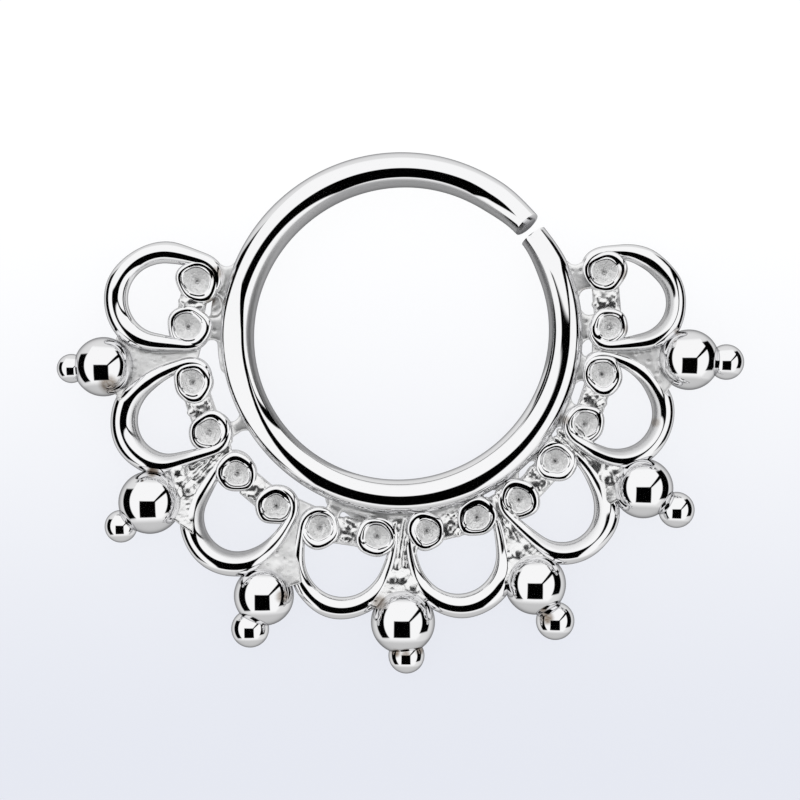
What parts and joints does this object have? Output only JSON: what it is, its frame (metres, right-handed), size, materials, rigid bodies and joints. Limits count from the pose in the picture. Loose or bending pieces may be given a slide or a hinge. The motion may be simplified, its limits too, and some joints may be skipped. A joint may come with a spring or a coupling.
{
  "type": "septum ring",
  "caption": "Open wire hoop for a nose piercing, with a cast fan of scrolled loops, small dished cups and paired balls soldered round its lower half.",
  "frame": {"origin": "centre of the overall box in plan, at the surface that the ring lies on", "axes": "the ring lies flat on its balls: +X to the wearer's left in the worn front view (right in the picture), +Y towards the top of the hoop, +Z out of the decorated face"},
  "size_m": [0.0236, 0.0178, 0.0022],
  "materials": {
    "polished_plate": "polished silver-colour plate, darker in the crevices"
  },
  "bodies": {
    "root": {"septum_ring": "polished_plate"}
  },
  "joints": []
}
